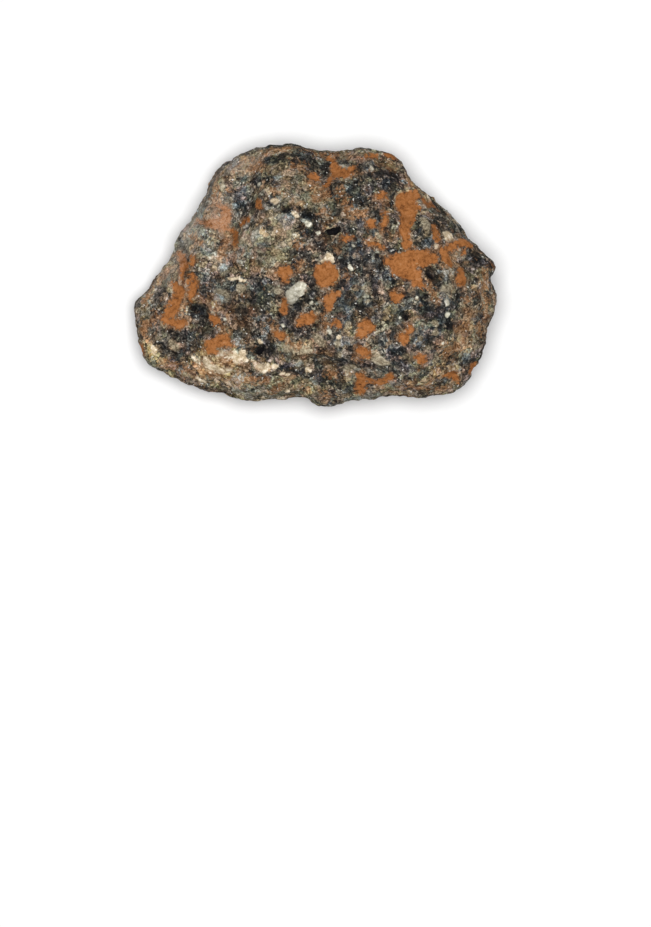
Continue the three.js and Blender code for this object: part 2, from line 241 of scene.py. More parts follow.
# charcoal: dark clasts, and the dark glassy ground between them; a few strokes are painted shade, as noted
# at them
charcoalMarks = {
    "crestBack": [[-7.1, 7.2, .2], [-6.8, 6.6, .36], [-6.5, 5.8, .36]],
    "crestTop": [[-5.7, 8.2, .2], [-5.1, 8.4, .3], [-4.3, 8.5, .24], [-3.8, 8.3, .33], [-3.5, 7.9, .2]],
    "centreLow": [[-5.2, -1.6, .5], [-4.6, -.7, .36], [-4.2, -1.9, .33]],
    "centreSpecks": [[3.3, -2.3, .3], [3.9, -3.2, .36], [5.6, -2.3, .33], [5.2, -.2, .3], [4.3, .3, .3]],
    "rightGround": [[8.9, -3, .3], [9.8, -3.3, .4], [10.8, -3, .4], [11.4, -4.4, .3], [10.2, -6.2, .36]],
    "frontGround": [[.6, -8.6, .36], [.9, -9.6, .4], [2, -10.1, .3], [2.6, -7.8, .33]],
    "shoulderLow": [[5.4, 5.6, .4], [5.9, 5.2, .3], [4.4, 7.2, .3], [4, 4.6, .26]],
    "clastTop": [[-.75, -.35, .33], [-.4, -1.1, .28], [.0, -1.8, .3]],
    "middleLeft": [[-5, -4.9, .36], [-5.4, -5.8, .36], [-4, -2.7, .3], [-6.9, -2.2, .33]],
    "slantEnd": [[2.9, 6.1, .6], [3.4, 5.8, .36], [5.6, 8, .3], [2, 5.6, .3]],
    "centre": [[-5.1, -.6, .5], [-3.9, -2.5, .36], [4, 1.1, .36], [3.4, .2, .3], [.2, 2.7, .36]],
    "lineRight": [[-5.6, -9, .33], [-4.6, -9.5, .3], [-2.4, -8.7, .3], [.2, -9.4, .33]],
    "frontSpecks": [[5.7, -6, .36], [6.3, -6.6, .3], [10.2, -9, .33], [9.2, -9.4, .26], [3.2, -7.9, .26]],
    "backLine": [[-4.2, 9.9, .3], [-1.8, 10.6, .2], [-1.2, 10.7, .36]],
    "backChip": [[-.7, 9.9, .34], [-.2, 9.6, .3]],
    "backBlock": [[.6, 9.3, .4], [1, 9.5, .42], [.9, 8.9, .33]],
    "backKnob": [[.7, 10.9, .2], [1.4, 10.9, .3]],
    "slant": [[4.9, 8.6, .36], [4, 8.2, .3], [3.3, 7.5, .42], [2.7, 6.8, .42], [2.2, 6.3, .3]],
    "ribDabs": [[-4.4, 4.5, .26], [-4, 4.1, .24]],
    "shoulder": [[5.6, 8.8, .33], [6.5, 8.9, .36], [7.6, 8.5, .33], [6.3, 8.2, .42], [7.2, 7.8, .24]],
    "shoulderFoot": [[7, 6.9, .26], [6.9, 6.1, .3]],
    "slantFoot": [[3.7, 6.8, .45], [4.5, 6.4, .4]],
    "slantDab": [[1.7, 7.9, .28], [2.2, 8.1, .28], [1.5, 7.3, .28]],
    "crescent": [[9.3, 5, .3], [9.2, 4.2, .45], [9.4, 3.4, .6], [9.5, 2.8, .55], [10.2, 2.9, .42]],
    "crescentHeart": [[10.3, 3.6, .2]],
    "crescentRight": [[10.9, 4.9, .2], [11.1, 4.4, .2]],
    "middle": [[-.9, 5.2, .3], [-.3, 5, .45], [.6, 4.9, .35]],
    "middleLow": [[-1.2, 4.2, .36], [-.9, 3.6, .4], [-.3, 3.9, .3], [.4, 4.6, .3]],
    "slotRound": [[1.4, 3.7, .3], [2.4, 3.95, .34], [3.3, 3.85, .3]],
    "middleBand": [[-1.6, 1.8, .3], [-.9, 1.9, .36], [-.5, 1.2, .3], [-.2, .7, .28]],
    "triangleTop": [[.6, 2.1, .24], [1.5, 2.3, .24]],
    "triangleSide": [[2.2, 1.2, .24], [2.6, .6, .34], [2.8, 1.5, .2]],
    "panLeft": [[6, .4, .4], [6.6, -.2, .4], [7.3, -.9, .3]],
    "panPit": [[10, .0, .26], [10.5, -.1, .6], [10.6, -.7, .55], [11.1, -.6, .4], [10.7, -1.4, .3]],
    "rightSpot": [[8, -3.8, .5], [8.4, -3.7, .3]],
    "rightSpotTop": [[9.4, -1.9, .28], [10, -2.2, .3]],
    "rightDark": [[12.3, -4.8, .42], [11.7, -3.3, .36], [12.6, -2.9, .36], [13.2, -2, .42]],
    "rightRim": [[14.6, -2.7, .4], [14.9, -2.2, .3]],
    "knob": [[14.4, 2.1, .3], [14.7, 1.4, .45], [15.3, .9, .42], [15.9, .7, .5]],
    "knobBack": [[12.7, 4.5, .3], [13.2, 4, .24]],
    "eye": [[-5.4, -6.7, .3], [-4.8, -6.9, .4], [-4.2, -7, .4], [-3.8, -6.6, .33]],
    "leftBar": [[-11.3, -2.8, .28], [-11, -3.3, .4], [-10.3, -3.3, .4], [-9.9, -3, .28]],
    # dark ground with painted shade of the hollow round the tip clast, in these three strokes
    "tipHollowShade": [[-12.6, -5.4, .3], [-11.8, -5.7, .4], [-11, -5.9, .5], [-11.2, -6.7, .46],
                  [-11.9, -7.3, .28]],
    "tipHollowShadeRight": [[-10.5, -6.6, .4]],
    "tipHollowShadeLeft": [[-13.7, -6.3, .33], [-13.6, -6.8, .28], [-12.8, -7.2, .14]],
    "leftCapGround": [[-7.4, -1, .4], [-6.7, -1, .26]],
    "lowHollow": [[-3, -3.8, .3], [-3.4, -3.7, .24]],
    "lowBand": [[-2.2, -4.8, .4], [-1.8, -5.2, .4], [-1, -5.4, .38], [-.1, -5.2, .33]],
    # painted shadow beside the middle white clast, laid on in charcoal
    "clastShadow": [[-1.5, -3, .4], [-1, -2.5, .3], [-.6, -2, .28], [-.3, -3.4, .28]],
    "vesicleSide": [[2.3, -.8, .26], [2.6, -1.3, .26]],
    "frontNest": [[7, -6.9, .33], [7.7, -6.8, .34], [7.4, -7.4, .4]],
    "frontChip": [[-3.1, -8.6, .4], [-2.4, -8.4, .36]],
    "corner": [[13.3, -8.1, .36], [14.8, -7.6, .3]],
    "leftRim": [[-13.7, -1.5, .26], [-14.1, -2.3, .26]],
    "flankSpot": [[-11.7, 2.3, .26], [-12, 3, .2], [-10.4, 2.9, .26]],
    "flankRim": [[-8, 9.7, .36], [-8.9, 8.9, .3], [-9.7, 6.1, .3]],
    "flankSlit": [[-7.2, 4.4, .26], [-6.9, 4.1, .24]],
}

# tan and olive ground
tanMarks = {
    "back": [[-3.3, 9.4, .8], [-2.5, 8.6, 1], [-1.2, 8, 1], [-.3, 7.4, .8]],
    "rib": [[-3, 7.3, .7], [-2.3, 6.8, .8], [-1, 6.6, .8], [.3, 6.4, .7]],
    "ribMiddle": [[-4.2, 5.2, .8], [-4.3, 4.2, 1], [-3.4, 3.6, 1], [-5, 3.2, .8], [-5.9, 3.5, .6]],
    "ribLow": [[-4.5, 2.2, .9], [-3.5, 1.6, .9], [-4.8, 1, .8], [-6.5, 2.2, .6], [-6.8, 1.2, .6]],
    "ribEnd": [[-5.6, .2, .6], [-2.4, 3.9, .6], [-2.6, 2.6, .6]],
    "frontMiddle": [[-2.3, -6.8, .8], [-.8, -7.1, .8], [-1.2, -8, .6]],
    "front": [[3.6, -8.5, .7], [3.2, -9.3, .6]],
    "frontWide": [[-4, -9.8, .8], [-2.2, -9.9, .8], [-.6, -9.6, .7], [.4, -10.5, .6]],
    "frontLeft": [[-6.6, -9.2, 1], [-5.5, -9.6, .9], [-7.5, -9.9, .7], [-9.2, -8.6, .8], [-8.4, -7.6, .8]],
    "tipEdge": [[-14.6, -1.8, .5], [-14.9, -2.8, .6], [-15.3, -3.6, .5]],
    "tipEnd": [[-15.5, -4.8, .5], [-15, -5.4, .5], [-14.8, -6.9, .4], [-13.9, -7.7, .3]],
    "crest": [[-8.5, 7.3, .4], [-8.3, 8.3, .3], [-8.7, 6.7, .3]],
    "crestTop": [[-6.8, 9, .5], [-6.2, 9.3, .5], [-5.6, 8.9, .4], [-6, 7.4, .25]],
    "flank": [[-9.2, 2, .5], [-8.5, .7, .5], [-9.9, 3.4, .5]],
    "slantSide": [[1, 6.3, .5], [3.4, 5.5, .5], [4.6, 6, .4]],
    "rightSpeckle": [[6.8, -3.5, .45], [9.5, -4.5, .4]],
    "corner": [[12.4, -6.8, .4], [13.2, -6.9, .4], [14.3, -5.6, .4]],
    "cornerLow": [[10.3, -9, .5], [11.5, -8.6, .5], [9.3, -10.2, .3], [12.5, -10, .3]],
    "rim": [[15.4, -.6, .35], [15.3, -2, .35], [15.6, -3.4, .3]],
    "knobLow": [[15.2, .1, .3]],
    "frontEdge": [[6, -10.4, .4], [7.6, -10.2, .35]],
    "frontRim": [[-8.6, -10.4, .5], [-6.8, -10.9, .6], [-4.5, -10.8, .6], [-2, -11.2, .5], [.4, -11.6, .4]],
    "frontRimRight": [[3, -11.2, .4], [5.5, -10.9, .4], [8.5, -10.7, .4], [11.5, -10.4, .4]],
    "cornerSide": [[13.6, -4.6, .5], [14.6, -5.6, .5], [13.9, -6.7, .5], [12.8, -8.6, .4]],
}

# cool grey ground
slateMarks = {
    "crestBack": [[-6.7, 8, .5], [-6.3, 7, .65], [-6.6, 6.2, .6], [-6.3, 5.5, .5]],
    "crestTop": [[-5.3, 8.5, .4], [-4.4, 8.6, .4], [-3.8, 8.3, .36]],
    "upperBlue": [[4.4, 1.9, .32], [5, 1.6, .42], [5.6, 1.5, .36]],
    "leftBlue": [[-9.9, -.3, .5], [-9.3, -.9, .4]],
    "middleBlue": [[-5.2, -.9, .7], [-5, -1.7, .6], [-4.6, -.3, .4], [-4.4, -1.9, .4], [-5.4, -2.4, .3]],
    "right": [[10.8, -3.4, .6], [11.9, -3.9, .4], [11.2, -5, .6], [9.9, -5.4, .6], [9.2, -6.4, .4]],
    "rightTop": [[14, -2.6, .26]],
    "front": [[7, -7.2, .5], [7.9, -8.4, .5], [6.3, -6, .4]],
    "middle": [[3.4, -2.9, .5], [2.8, -3.8, .5], [3.4, 2.6, .3], [4.2, 3, .3]],
    "flank": [[-10, 3.3, .4], [-9.4, 2.2, .3]],
}

# hazy, pinkish tan ground
blushMarks = {
    "crest": [[-8.9, 6.2, .5], [-8.3, 5.7, .7], [-8.8, 4.9, .6], [-9.6, 4.6, .4], [-8, 4.7, .6]],
    "crestFoot": [[-7.6, 3.3, .5], [-7.2, 2.4, .5], [-8.2, 1.6, .4]],
    "flankTop": [[-9.2, 8.5, .3], [-9, 7.5, .4]],
    "flank": [[-12.9, .6, .35], [-13.9, -.9, .35]],
    "lowEdge": [[-13.6, -8, .3], [-12.4, -8.5, .36], [-11.2, -9.1, .36], [-9.9, -9.6, .3]],
    "crestBack": [[-6.4, 9.5, .6], [-5.8, 9.9, .6], [-5.2, 9.3, .5], [-4.6, 10.6, .5]],
    "backEdge": [[3.2, 10.6, .5], [6.8, 9.7, .4]],
    "right": [[15.3, -.4, .4], [15.1, -1.8, .3], [13.8, -4.9, .5], [12.9, -6.8, .4]],
    "hook": [[11.8, .9, .4], [12.3, 1.3, .5], [12.9, 1.7, .3]],
    "leftFlank": [[-12, -.3, .65], [-10.6, -2.2, .36], [-7, -4, .36]],
    "front": [[11, -8.9, .4], [7.6, -10.2, .3]],
}

# pale grey, dusty ground; on the left flank it is also painted light that brightens that side
paleMarks = {
    # painted light on the left flank, over pale dusty ground, in these three strokes
    "flank": [[-9.3, 9.3, .5], [-10, 7.8, .8], [-10.4, 6.3, .9], [-11, 4.6, .9], [-11.8, 2.9, .7]],
    "flankLow": [[-12.9, .6, .6], [-13.8, -.6, .5], [-12.4, -.6, .5]],
    "flankTop": [[-8.9, 8.6, .6], [-9.3, 7.2, .6], [-9.9, 5.2, .5], [-10.9, 3.6, .6], [-11.5, 2.4, .4]],
    "middleLeft": [[-9, -1.9, .5], [-8.2, -2.6, .33], [-9, -3.1, .3]],
    "tip": [[-14.3, -4.9, .36], [-13.5, -5.2, .3]],
    "backRight": [[7.3, 9.6, .4], [2.7, 10.4, .36]],
    "rightEdge": [[10.9, 6.2, .7], [11.8, 5.6, .8], [12.3, 4.9, .6], [12.9, 4.2, .4]],
    "frontMiddle": [[5.6, -8.9, .45], [7.6, -9, .5], [9.4, -9.2, .4]],
    "frontRight": [[8.8, -7.7, .5], [10.3, -7.3, .4]],
    "middle": [[4.4, -3.7, .36], [4.7, -2.6, .33], [4.4, -1.4, .33]],
    "crest": [[-8.6, 9.4, .6], [-7.3, 9.6, .7], [-6.4, 8.9, .6]],
    "rib": [[-7.2, 3.6, .5], [-6.2, 2.4, .9], [-5.2, 2.9, .9], [-4.3, 3.4, .7]],
    "ribFoot": [[-9.8, 2.6, .7], [-8.8, 1.6, .55], [-8.2, .6, .5]],
    "ribTop": [[-2.9, 5.2, .5], [-2.4, 3.6, .4], [-2.5, 2.6, .36]],
    "ribBottom": [[-7.2, 3, .75], [-6.4, 3, .8], [-6.8, 1.8, .6]],
    "right": [[12, -1.4, .5], [12.9, -3.9, .4]],
}

# warm cream ground
sandMarks = {
    "low": [[-10.1, -7, .8], [-9.2, -7.6, 1.1], [-8.2, -7.4, 1.1], [-7.1, -7.5, .75]],
    "lowFoot": [[-10.1, -8.6, .85], [-8.4, -8.7, .95], [-7, -8.4, .75]],
    "lowEdge": [[-10.6, -9.5, .33], [-9.8, -9.8, .3]],
    "front": [[-5.2, -8.2, .5], [-4.2, -8.6, .5]],
    "tip": [[-15, -6.2, .2], [-14.3, -7.2, .4]],
    "corner": [[10.9, -8.7, .36], [11.8, -8.9, .4], [12.7, -8.5, .3]],
    "cornerTop": [[13.1, -5.2, .4], [13.8, -5, .36], [14.8, -4.9, .3]],
    "frontLow": [[-8.8, -9.4, .5], [-7.2, -9.6, .55], [-6.1, -9.5, .45]],
    "cornerBand": [[11.7, -6.8, .4], [12.5, -6.7, .5], [13.5, -6.3, .45], [13.5, -7.2, .3]],
    "backEdge": [[-3.6, 10.9, .4], [-2.6, 10.9, .4]],
    "basin": [[3.2, 8.5, .36], [2.5, 8.3, .3]],
    "rightEdge": [[10.2, 6.5, .3], [11.3, 6, .4], [12, 5.3, .3]],
}

# dark brown stain
brownMarks = {
    "slotGround": [[1, 3, .6], [.5, 2.6, .5], [.7, 4.3, .5], [1.8, 4.8, .4]],
    "frontGrey": [[1, -8.2, .5], [1, -9, .5], [2.2, -8.4, .6], [2.3, -9.6, .4]],
    "underSlot": [[2.4, 2.6, .4]],
    "lowLeft": [[-10.8, -4.9, .4], [-10, -5.2, .5], [-9.3, -5.1, .4]],
    "leftMiddle": [[-7.4, -3, .8], [-6.6, -3.6, .6], [-5.4, -3.3, .5], [-6.4, -4.8, .6]],
    "vesicleLeft": [[.2, -1.6, .33], [.6, -2.4, .4]],
    "midSide": [[5.6, -3, .4], [4, -4, .3]],
    "backRight": [[6.2, 10, .4], [5.2, 6.6, .4]],
    "rightMiddle": [[12.9, -3.5, .33], [13.6, -3.6, .36], [14.3, -3.1, .36]],
    "frontMiddle": [[1.8, -7.4, .5], [-1.9, -7.3, .4]],
    "frontLine": [[-5.8, -8.6, .26], [-6.6, -8.3, .2], [-5.5, -9, .2]],
    "lowRight": [[12.9, -7.8, .22]],
    "flankLow": [[-12.2, -5.1, .2], [-13.9, -5.2, .3]],
}

# black pits: gaps in the stone, dug in and painted near black as their shade
pitShadeMarks = {
    "slot": [[1.35, 3.6, .2], [1.75, 3.7, .24], [2.15, 3.9, .15]],
    "ribSlit": [[-2.75, 5.8, .16], [-2.2, 5.85, .14]],
    "middleSlit": [[-.4, 5.25, .17]],
    "eye": [[-4.9, -6.95, .22], [-4.65, -6.7, .17]],
    "panPit": [[10.3, .1, .2], [10.65, -.25, .24]],
    "lowHollow": [[-3.2, -3.85, .17]],
    "clastFoot": [[-1.45, -3, .16]],
    "upperBlue": [[5.6, 1.6, .2]],
    "rightSpot": [[8.2, -4, .2]],
    "rightSpotTop": [[10.05, -2.2, .16]],
    "frontPit": [[8.5, -9.6, .1], [8.85, -9.7, .12]],
    "tipSlit": [[-12.9, -7.15, .1], [-12.2, -7.2, .1]],
    "lineSlit": [[-5.8, -8.9, .14]],
    "flankSlit": [[-12, 2.1, .13]],
    "leftBar": [[-10.9, -3.3, .17]],
}

# thin pale rims along the clay
rimMarks = {
    "forkTop": [[7.25, 6.2, .05], [7.25, 6.9, .07], [7.7, 7.3, .11], [8.4, 7.35, .07]],
    "forkSide": [[9.2, 6.45, .05], [9.45, 6.3, .06]],
    "ringLine": [[9.2, 5.2, .05], [9.8, 5.5, .06], [10.3, 5.6, .05]],
    "stemSide": [[7.4, 5.4, .05], [7.6, 5.1, .06]],
    "arcTop": [[5.1, 2.85, .06], [5.7, 2.85, .07], [6.2, 2.6, .06]],
    "panSquiggle": [[9.2, .85, .06], [9.4, .75, .05], [9.5, .45, .06]],
    "panTop": [[10.4, .75, .06], [10.8, .7, .05]],
    "vesicleSide": [[2.2, .35, .05], [2.33, -.2, .06], [2.15, -.75, .05]],
    "leftSide": [[-11.3, -3, .05], [-11.5, -3.6, .07]],
    "commaSide": [[5.3, -4.2, .05], [5.45, -4.6, .05]],
}

# a thin veil of pale dust
dustMarks = {
    "flank": [[-8.9, 9.6, .7], [-9.6, 7.6, 1], [-10.2, 5.4, 1.2], [-11.3, 3.2, 1.2], [-12.6, .9, .8]],
    "flankLow": [[-13.4, -.2, .6], [-14.4, -2, .5]],
    "crest": [[-8.6, 6, 1.1], [-8.6, 4.7, 1.2]],
    "back": [[-7, 9.7, .5], [-5.4, 10.2, .5]],
}

# Places and sizes of the marks that the photo doesn't show, on the sides and the underside
hiddenMarks = {
    "seed": 27,
    "clay": {"count": 64, "radius": (.22, .8), "steps": (1, 4)},
    "rust": {"count": 90, "radius": (.15, .4), "steps": (1, 4)},
    "white": {"count": 60, "radius": (.08, .3), "steps": (1, 2)},
    "cream": {"count": 70, "radius": (.12, .42), "steps": (1, 2)},
    "beige": {"count": 50, "radius": (.18, .45), "steps": (1, 2)},
    "charcoal": {"count": 80, "radius": (.25, .7), "steps": (1, 5)},
    "tan": {"count": 50, "radius": (.4, 1.0), "steps": (2, 5)},
    "slate": {"count": 34, "radius": (.3, .8), "steps": (1, 4)},
    "blush": {"count": 26, "radius": (.3, .8), "steps": (1, 4)},
    "pale": {"count": 30, "radius": (.4, .9), "steps": (1, 4)},
    "sand": {"count": 22, "radius": (.3, .8), "steps": (1, 4)},
    "brown": {"count": 45, "radius": (.25, .7), "steps": (1, 4)},
    "shadedPit": {"count": 30, "radius": (.1, .24), "steps": (1, 3)},
    "dust": {"count": 5, "radius": (.4, .9), "steps": (2, 5)},
}

stone = {
    "halfSize": (16.3, 11.9, 5.5),            # mm
    "roundingLevels": 1,     # subdivision that rounds the solid's facets
    "skin": .155,            # mm, spacing of the finished skin
    "smoothing": 4,          # passes over the finished skin
    "marksSeenFrom": (1.03, -17.15, 700.0),   # mm, the marks are laid on as seen from here
    "marksLevel": 5.0,       # mm, the level at which their places are true
    "markRaggedness": .16,   # mm, how far a mark's edge wanders
    "raggedSpacing": .6,     # mm
    "farOut": 40,            # mm, well outside the stone
    "sideLimit": .3,         # a face that looks up more than this is in the photo
    "strokeStep": 1.15,      # radii from one chance dab to the next
    "strokeClimb": .4,       # how steeply a chance stroke may start
    "fullness": .04,         # mm, makes up for what the smoothing takes off
    "flattening": .6,        # how little a mark's drop down a flank counts
    "reach": .9,             # mm, a mark's field is not kept further out than this
    "clayDepth": .09,        # mm
    "clayCalm": .75,         # share of the roughness that clay hides
    "clastHeight": .05,      # mm
    "pitDepth": .75,         # mm
    "fractal": (.9, 2.1, 2),    # fall in height and step in spacing of the roughness, octaves
}

# broken facets: each chip of the surface is tilted its own way
chips = {
    "large": {"spacing": 3.4, "tilt": .16, "lift": .16},    # mm, mm, mm
    "small": {"spacing": 1.3, "tilt": .12, "lift": .10},
    "sharpness": 9,
}

# layers of roughness: spacing in mm, height in mm
roughness = {
    "lumps": {"spacing": 1.5, "height": .09},
    "grains": {"spacing": .62, "height": .09},
    "grit": {"spacing": .27, "height": .05},
}


def solidCopy(node):
    bm = bmesh.new()
    bm.from_mesh(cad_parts[node].data)
    bmesh.ops.remove_doubles(bm, verts=bm.verts, dist=.001 * mm)
    bmesh.ops.scale(bm, vec=Vector((1, 1, 1)) / mm, verts=bm.verts)
    mesh = bpy.data.meshes.new("stoneSkin")
    bm.to_mesh(mesh)
    bm.free()
    return mesh


def evenSkin(mesh):
    piece = bpy.data.objects.new("stoneSkin", mesh)
    bpy.context.scene.collection.objects.link(piece)
    rounding = piece.modifiers.new("rounding", "SUBSURF")
    rounding.levels = rounding.render_levels = stone["roundingLevels"]
    even = piece.modifiers.new("even", "REMESH")
    even.mode = "VOXEL"
    even.voxel_size = stone["skin"]
    seen = piece.evaluated_get(bpy.context.evaluated_depsgraph_get())
    skin = bpy.data.meshes.new_from_object(seen)
    piece.modifiers.clear()
    piece.data = skin
    bm = bmesh.new()
    bm.from_mesh(skin)
    for _ in range(stone["smoothing"]):
        bmesh.ops.smooth_vert(
            bm, verts=bm.verts, factor=.5, use_axis_x=True, use_axis_y=True, use_axis_z=True)
    bm.to_mesh(skin)
    bm.free()
    return piece


def readVectors(items, name):
    values = np.empty(len(items) * 3, dtype=np.float32)
    items.foreach_get(name, values)
    return values.reshape(-1, 3).astype(float)


def groundedStrokes(marks, tree):
    # lays each dab of a mark on the stone
    eye = Vector(stone["marksSeenFrom"])
    strokes = []
    for dabs in marks.values():
        stroke = []
        for x, y, radius in dabs:
            aim = Vector((x, y, stone["marksLevel"]))
            spot = tree.ray_cast(eye, aim - eye)[0]
            if spot is None:
                spot = tree.find_nearest(aim)[0]
            stroke.append((spot.x, spot.y, spot.z, radius))
        strokes.append(stroke)
    return strokes


def chanceHeading(chance, climb):
    return Vector((chance.uniform(-1, 1), chance.uniform(-1, 1), chance.uniform(-climb, climb)))


def hiddenSpot(tree, chance):
    # a chance spot on the sides or the underside
    while True:
        heading = Vector([chance.gauss(0, 1) * half for half in stone["halfSize"]])
        outside = heading.normalized() * stone["farOut"]
        spot, normal, _, _ = tree.ray_cast(outside, -outside)
        if spot and normal.z < stone["sideLimit"]:
            return spot, normal


def hiddenStrokes(kind, tree, chance):
    # strokes that wander over the sides and the underside
    settings = hiddenMarks[kind]
    strokes = []
    for _ in range(settings["count"]):
        spot, normal = hiddenSpot(tree, chance)
        heading = chanceHeading(chance, stone["strokeClimb"]).normalized()
        stroke = []
        for _ in range(chance.randint(*settings["steps"])):
            radius = chance.uniform(*settings["radius"])
            if normal.z < stone["sideLimit"]:
                stroke.append((spot.x, spot.y, spot.z, radius))
            heading = (heading + chanceHeading(chance, 1)).normalized()
            spot, normal = tree.find_nearest(spot + heading * radius * stone["strokeStep"])[:2]
        strokes.append(stroke)
    return strokes


def strokeField(places, strokes, flattening):
    # how deep inside the nearest stroke each place is, in mm, and below zero outside
    field = np.full(len(places), -stone["reach"])
    squeeze = np.array((1, 1, flattening))
    squeezed = places * squeeze
    for stroke in strokes:
        for a, b in zip(stroke, stroke[1:] or stroke[:1]):
            start, end = np.array(a[:3]) * squeeze, np.array(b[:3]) * squeeze
            span = end - start
            reach = max(a[3], b[3]) + stone["reach"]
            low, high = np.minimum(start, end) - reach, np.maximum(start, end) + reach
            near = np.flatnonzero(((squeezed > low) & (squeezed < high)).all(axis=1))
            if not len(near):
                continue
            offset = squeezed[near] - start
            length = span @ span
            share = np.clip(offset @ span / length, 0, 1) if length > 0 else np.zeros(len(near))
            distance = np.linalg.norm(offset - share[:, None] * span, axis=1)
            field[near] = np.maximum(field[near], a[3] + share * (b[3] - a[3]) - distance)
    return field


def softStep(values, low, high):
    share = np.clip((values - low) / (high - low), 0, 1)
    return share * share * (3 - 2 * share)


def chipHeight(place, size):
    place = place / size["spacing"]
    distances, centres = noise.voronoi(place)
    total = weights = 0
    for distance, centre in zip(distances, centres):
        weight = 2.718 ** (-chips["sharpness"] * (distance - distances[0]))
        lean = noise.cell_vector(centre) * 2 - Vector((1, 1, 1))
        lift = noise.cell(centre + Vector((40, 0, 0)))    # read far away, so that it has nothing of the lean
        total += weight * (size["tilt"] * (place - centre).dot(lean) + size["lift"] * lift)
        weights += weight
    return total / weights


def keepField(mesh, name, values):
    layer = mesh.attributes.new(name, "FLOAT", "POINT")
    layer.data.foreach_set("value", values.astype(np.float32))


def makeStone():
    piece = evenSkin(solidCopy("stone"))
    mesh = piece.data
    places = readVectors(mesh.vertices, "co")
    normals = readVectors(mesh.vertex_normals, "vector")
    triangles = sum(len(p.vertices) - 2 for p in mesh.polygons)
    print("stone: skin of", len(places), "points,", triangles, "triangles")

    vectors = [Vector(p) for p in places]
    tree = BVHTree.FromPolygons(vectors, [p.vertices[:] for p in mesh.polygons])
    noise.seed_set(hiddenMarks["seed"])      # else the vector noise differs from run to run
    ragged = [noise.turbulence_vector(v / stone["raggedSpacing"], 3, False) for v in vectors]
    ragged = np.array(ragged)
    wandering = places + stone["markRaggedness"] * (ragged - ragged.mean(axis=0))
    chance = random.Random(hiddenMarks["seed"])
    kinds = {
        "clay": clayMarks, "rust": rustMarks, "white": whiteMarks, "cream": creamMarks, "beige": beigeMarks,
        "charcoal": charcoalMarks, "slate": slateMarks, "tan": tanMarks, "pale": paleMarks,
        "blush": blushMarks, "sand": sandMarks, "brown": brownMarks, "shadedPit": pitShadeMarks, "dust": dustMarks,
    }
    fields = {}
    for kind, marks in kinds.items():
        seen = strokeField(wandering, groundedStrokes(marks, tree), stone["flattening"])
        hidden = strokeField(wandering, hiddenStrokes(kind, tree, chance), 1)
        fields[kind] = np.maximum(seen, hidden)
    fields["rim"] = strokeField(places, groundedStrokes(rimMarks, tree), stone["flattening"])
    print("stone: marks laid on")

    relief = np.array([chipHeight(v, chips["large"]) + chipHeight(v, chips["small"]) for v in vectors])
    relief -= relief.mean()
    print("stone: chips from", relief.min().round(2), "to", relief.max().round(2), "mm")
    for layer in roughness.values():
        bumps = [noise.fractal(v / layer["spacing"], *stone["fractal"]) for v in vectors]
        relief += layer["height"] * np.array(bumps)
    calm = 1 - stone["clayCalm"] * softStep(fields["clay"], -.1, .15)
    clast = np.maximum(np.maximum(fields["cream"], fields["white"]), fields["beige"])
    calm *= 1 - .5 * softStep(clast, -.1, .1)
    shift = stone["fullness"] + relief * calm
    shift -= stone["clayDepth"] * softStep(fields["clay"], -.15, .2)
    shift += stone["clastHeight"] * softStep(clast, -.12, .1)
    shift -= stone["pitDepth"] * softStep(fields["shadedPit"], -.2, .2)
    places = places + normals * shift[:, None]
    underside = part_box("stone")[0][2] / mm
    places[:, 2] = np.maximum(places[:, 2], underside)

    mesh.vertices.foreach_set("co", (places * mm).astype(np.float32).ravel())
    for name, field in fields.items():
        keepField(mesh, name, field)
    keepField(mesh, "height", relief)
    mesh.polygons.foreach_set("use_smooth", np.ones(len(mesh.polygons), dtype=bool))
    mesh.update()
    print("stone: roughened")
    return piece


# Shader helpers

def paint(red, green, blue):
    def linear(value):
        value /= 255
        return value / 12.92 if value <= .04045 else ((value + .055) / 1.055) ** 2.4
    return linear(red), linear(green), linear(blue), 1


def put(tree, kind, inputs=None, **settings):
    node = tree.nodes.new("ShaderNode" + kind)
    for name, value in settings.items():
        setattr(node, name, value)
    for socket, value in (inputs or {}).items():
        if isinstance(value, bpy.types.NodeSocket):
            tree.links.new(value, node.inputs[socket])
        else:
            node.inputs[socket].default_value = value
    return node


def calc(tree, operation, *values):
    return put(tree, "Math", dict(enumerate(values)), operation=operation).outputs[0]


def blended(tree, share, under, over, mode="MIX"):
    node = put(tree, "Mix", {0: share, 6: under, 7: over}, data_type="RGBA", blend_type=mode)
    return node.outputs[2]


def stepped(tree, value, low, high):
    limits = {"Value": value, "From Min": low, "From Max": high}
    return put(tree, "MapRange", limits, interpolation_type="SMOOTHSTEP").outputs[0]


def palette(tree, value, stops):
    node = put(tree, "ValToRGB", {"Fac": value})
    ramp = node.color_ramp
    for position, *_ in stops[1:-1]:
        ramp.elements.new(position)
    for element, (position, *colour) in zip(ramp.elements, stops):
        element.position = position
        element.color = paint(*colour)
    return node.outputs["Color"]


def surfaceField(tree, name):
    return put(tree, "Attribute", attribute_name=name).outputs["Fac"]


def makeGrainGroup():
    # breaks the stone into angular grains: a random value, and the distance to the grain's edge
    group = bpy.data.node_groups.new("grains", "ShaderNodeTree")
    for name, kind in ("Place", "Vector"), ("Grains per mm", "Float"):
        group.interface.new_socket(name, in_out="INPUT", socket_type="NodeSocket" + kind)
    for name in "Value", "Other", "Gap":
        group.interface.new_socket(name, in_out="OUTPUT", socket_type="NodeSocketFloat")
    start = group.nodes.new("NodeGroupInput")
    end = group.nodes.new("NodeGroupOutput")
    pattern = {"Vector": start.outputs["Place"], "Scale": start.outputs["Grains per mm"], "Randomness": 1.0}
    cells = put(group, "TexVoronoi", pattern)
    parts = put(group, "SeparateColor", {"Color": cells.outputs["Color"]})
    edges = put(group, "TexVoronoi", pattern, feature="DISTANCE_TO_EDGE")
    group.links.new(parts.outputs[0], end.inputs["Value"])
    group.links.new(parts.outputs[1], end.inputs["Other"])
    group.links.new(edges.outputs["Distance"], end.inputs["Gap"])
    return group


